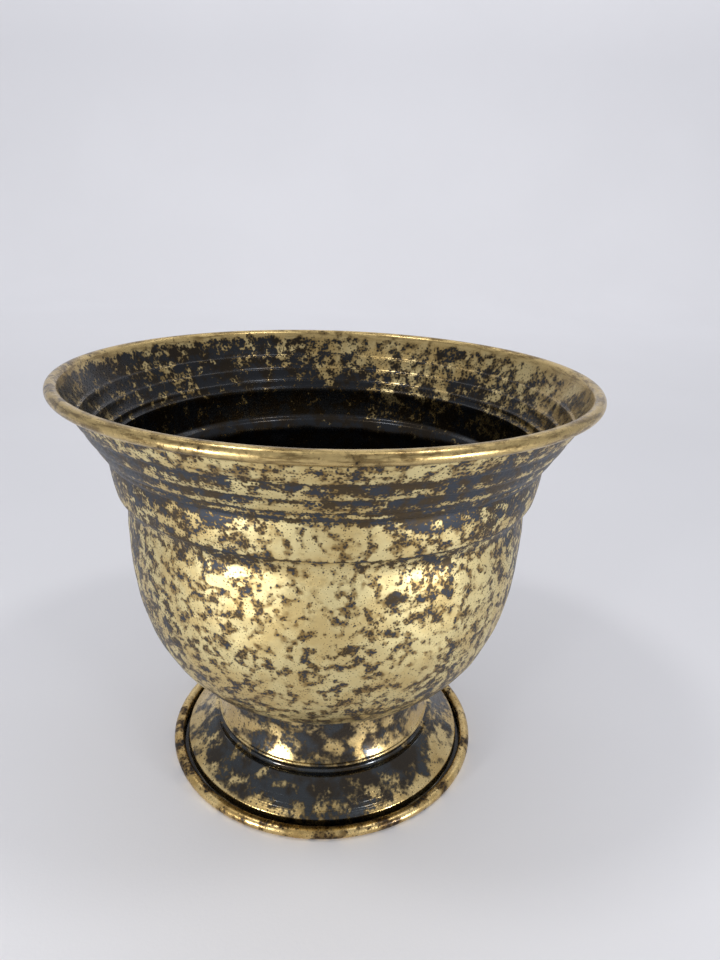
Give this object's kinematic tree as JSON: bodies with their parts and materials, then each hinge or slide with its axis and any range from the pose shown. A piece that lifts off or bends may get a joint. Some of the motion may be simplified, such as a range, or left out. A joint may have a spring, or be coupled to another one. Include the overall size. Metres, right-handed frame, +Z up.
{
  "type": "footed brass planter pot",
  "caption": "Round metal planter: a deep bowl with a stepped flaring neck and rolled rim, bolted to a flared pedestal foot with a rolled edge.",
  "frame": {"origin": "centre of the circle that the foot stands on, at ground level", "axes": "+Z up along the pot's axis; +X and +Y are level and the pot is round, so either may face the front"},
  "size_m": [0.2, 0.2, 0.164],
  "materials": {
    "bowl_brass": "planished brass with a mottled dark patina, satin where worn bright",
    "foot_brass": "spun brass under a nearly whole dark glossy patina, with worn gold patches",
    "wire_steel": "drawn steel wire",
    "bolt_brass": "turned brass, slightly dulled",
    "plated_steel": "zinc-plated steel",
    "seal_rubber": "matte black rubber"
  },
  "bodies": {
    "root": {"bowl": "bowl_brass", "rim_wire": "wire_steel", "foot": "foot_brass", "foot_wire": "wire_steel", "centre_bolt": "bolt_brass", "sealing_washer": "seal_rubber", "flat_washer": "bolt_brass", "foot_washer": "plated_steel", "spring_washer": "plated_steel", "nut": "plated_steel"}
  },
  "joints": []
}
